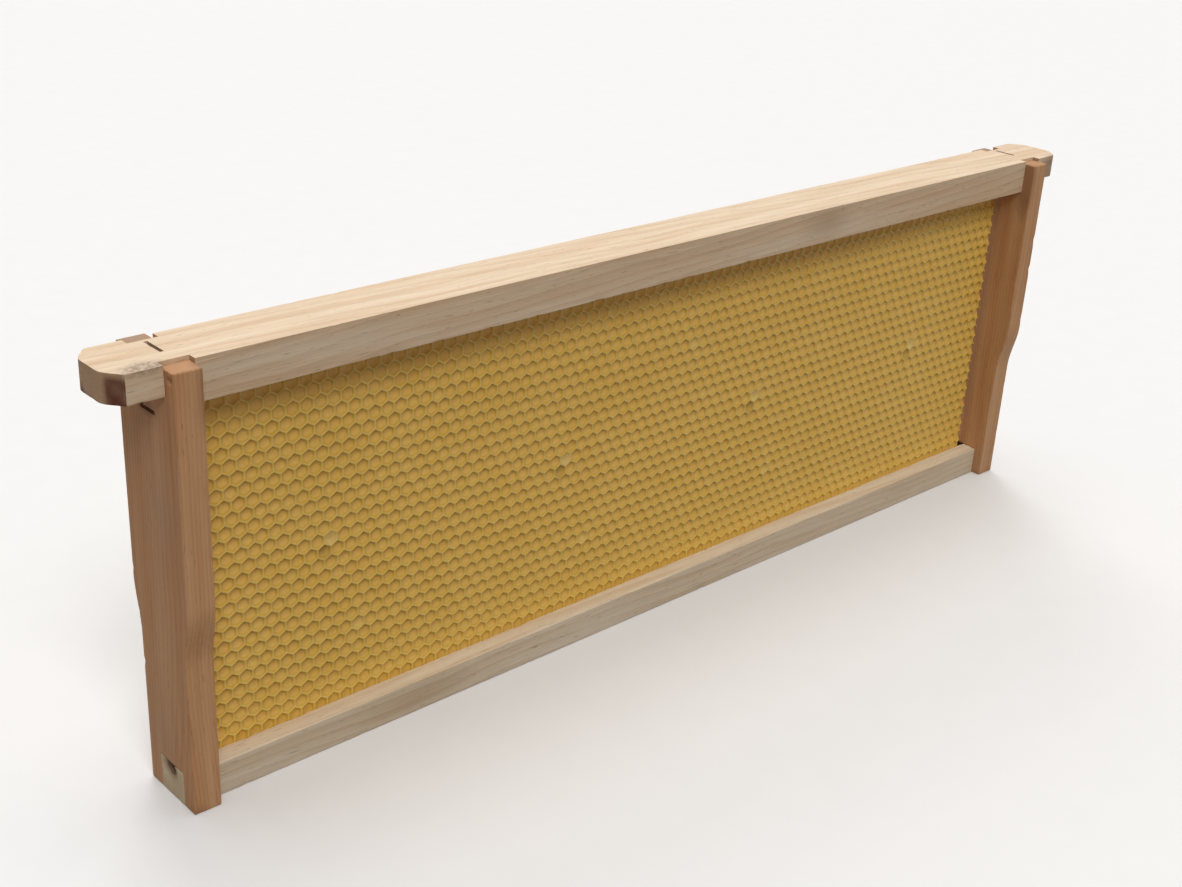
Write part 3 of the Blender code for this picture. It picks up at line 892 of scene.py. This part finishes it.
# Painted shade: each ejector pit's cell is darkened, most at its deep middle.
pit_shade_share = add(tree, "MapRange", {0: mark.outputs["Fac"], 1: -0.15, 2: -0.95, 3: 0.0, 4: 0.75}, clamp=True)
pitted = add(tree, "Mix", {0: pit_shade_share.outputs[0], 6: gated.outputs[2], 7: linear("#7C6420")},
             data_type="RGBA")
tone = add(tree, "MapRange", {0: grain.outputs["Fac"], 1: 0.25, 2: 0.75, 3: 0.93, 4: 1.05})
toned = add(tree, "VectorMath", {0: pitted.outputs[2], "Scale": tone.outputs[0]}, operation="SCALE")
gleam = add(tree, "MapRange", {0: grain.outputs["Fac"], 1: 0.2, 2: 0.8, 3: 0.30, 4: 0.48})
ripple = add(tree, "Bump", {"Height": grain.outputs["Fac"], "Strength": 0.35, "Distance": 0.0001})
wax = add(tree, "BsdfPrincipled", {"Base Color": toned.outputs[0], "Roughness": gleam.outputs[0],
                                   "Normal": ripple.outputs[0], "IOR": 1.47})
add(tree, "OutputMaterial", {0: wax.outputs[0]})
sheet.data.materials.append(waxed)
sheet.data.shade_smooth()
sheet.data.set_sharp_from_angle(angle=math.radians(70))
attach(sheet, "root")
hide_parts("foundation_sheet")


# ---------------------------------------------------------------- floor
# A plain off-white studio sweep of painted board: flat under the frame, and rising gently all round, so
# that it fills every view.
SWEEP_FLAT = 1.8
SWEEP_BEND = 2.0
SWEEP_RISE = 0.34
SWEEP_SIDES = 64
profile = [(0.0, 0.0), (0.6, 0.0), (1.2, 0.0), (SWEEP_FLAT, 0.0)]
for step in range(1, 9):
    share = step / 8
    profile.append((SWEEP_FLAT + SWEEP_BEND * share, SWEEP_RISE * share * share))
for radius in (7.0, 14.0):
    profile.append((radius, SWEEP_RISE + (radius - SWEEP_FLAT - SWEEP_BEND) * SWEEP_RISE))
body = bmesh.new()
spun = []
for radius, height in profile:
    ring = []
    for step in range(SWEEP_SIDES if radius else 1):
        angle = step / SWEEP_SIDES * math.tau
        ring.append(body.verts.new((radius * math.cos(angle), radius * math.sin(angle), height)))
    spun.append(ring)
for inside, outside in zip(spun, spun[1:]):
    for i in range(SWEEP_SIDES):
        j = (i + 1) % SWEEP_SIDES
        if len(inside) == 1:
            body.faces.new((inside[0], outside[i], outside[j]))
        else:
            body.faces.new((inside[i], outside[i], outside[j], inside[j]))
floor = as_object("studio_floor", body)
floor.location.z = -0.02 * MM  # just clear of the end bars' feet
floor.data.shade_smooth()
# Matt painted board, with a barely visible roller mottle 17 mm wide.
painted = bpy.data.materials.new("matt_off_white_paint")
tree = empty_tree(painted)
place = add(tree, "TexCoord")
roller = add(tree, "TexNoise", {"Vector": place.outputs["Object"], "Scale": 60.0, "Detail": 2.0})
paint = add(tree, "Mix", {0: roller.outputs["Fac"], 6: linear("#EFEEED"), 7: linear("#F2F1F0")},
            data_type="RGBA")
matt = add(tree, "BsdfPrincipled", {"Base Color": paint.outputs[2], "Roughness": 0.9})
matt.inputs["Specular IOR Level"].default_value = 0.1
add(tree, "OutputMaterial", {0: matt.outputs[0]})
floor.data.materials.append(painted)
floor.visible_diffuse = False  # as with black flags laid round a subject: the sides keep their shade


# ---------------------------------------------------------------- light
# A wide soft light overhead, a firmer one from the front and above that draws the cells, and a weak one
# from behind for the other side, in a room that is paler above and warmer below.
for name, strength, spread, direction in (
    ("overhead", 1.20, 45, (0.10, 0.10, 1.0)),
    ("front_above", 1.05, 24, (-0.25, -0.62, 0.76)),
    ("back_above", 0.70, 30, (0.45, 0.75, 0.70)),
):
    lamp = bpy.data.lights.new(name, "SUN")
    lamp.energy = strength
    lamp.angle = math.radians(spread)
    holder = bpy.data.objects.new(name, lamp)
    holder.rotation_mode = "QUATERNION"
    holder.rotation_quaternion = Vector(direction).to_track_quat("Z", "Y")
    bpy.context.scene.collection.objects.link(holder)
room = bpy.data.worlds.new("pale_room")
tree = empty_tree(room)
heading = add(tree, "TexCoord")
height = add(tree, "SeparateXYZ", {0: heading.outputs["Generated"]})
brightness = add(tree, "MapRange", {0: height.outputs[2], 1: -0.6, 2: 0.8, 3: 0.12, 4: 0.36})
rising = add(tree, "MapRange", {0: height.outputs[2], 1: -0.4, 2: 0.5}, clamp=True)
glow = add(tree, "Mix", {0: rising.outputs[0], 6: linear("#F6D6B6"), 7: linear("#FCFBFA")},
           data_type="RGBA")
air = add(tree, "Background", {"Color": glow.outputs[2], "Strength": brightness.outputs[0]})
add(tree, "OutputWorld", {0: air.outputs[0]})
bpy.context.scene.world = room
bpy.context.scene.view_settings.view_transform = "Standard"


# ---------------------------------------------------------------- camera
# From the front left and above, tilted a little, with a short telephoto lens.
EYE = Vector((-0.43194, -0.41315, 0.33622))
AIM = Vector((-0.0400, 0.0, 0.0800))
ROLL = math.radians(-3.0)
forward = (AIM - EYE).normalized()
level = forward.cross(Vector((0, 0, 1))).normalized()
down = forward.cross(level)
right = math.cos(ROLL) * level + math.sin(ROLL) * down
lower = -math.sin(ROLL) * level + math.cos(ROLL) * down
lens = bpy.data.cameras.new("camera")
lens.lens = 49.3
lens.sensor_width = 36.0
lens.clip_start = 0.05
lens.clip_end = 20.0
camera = bpy.data.objects.new("camera", lens)
camera.matrix_world = Matrix((
    (right.x, -lower.x, -forward.x, EYE.x),
    (right.y, -lower.y, -forward.y, EYE.y),
    (right.z, -lower.z, -forward.z, EYE.z),
    (0, 0, 0, 1),
))
bpy.context.scene.collection.objects.link(camera)
bpy.context.scene.camera = camera
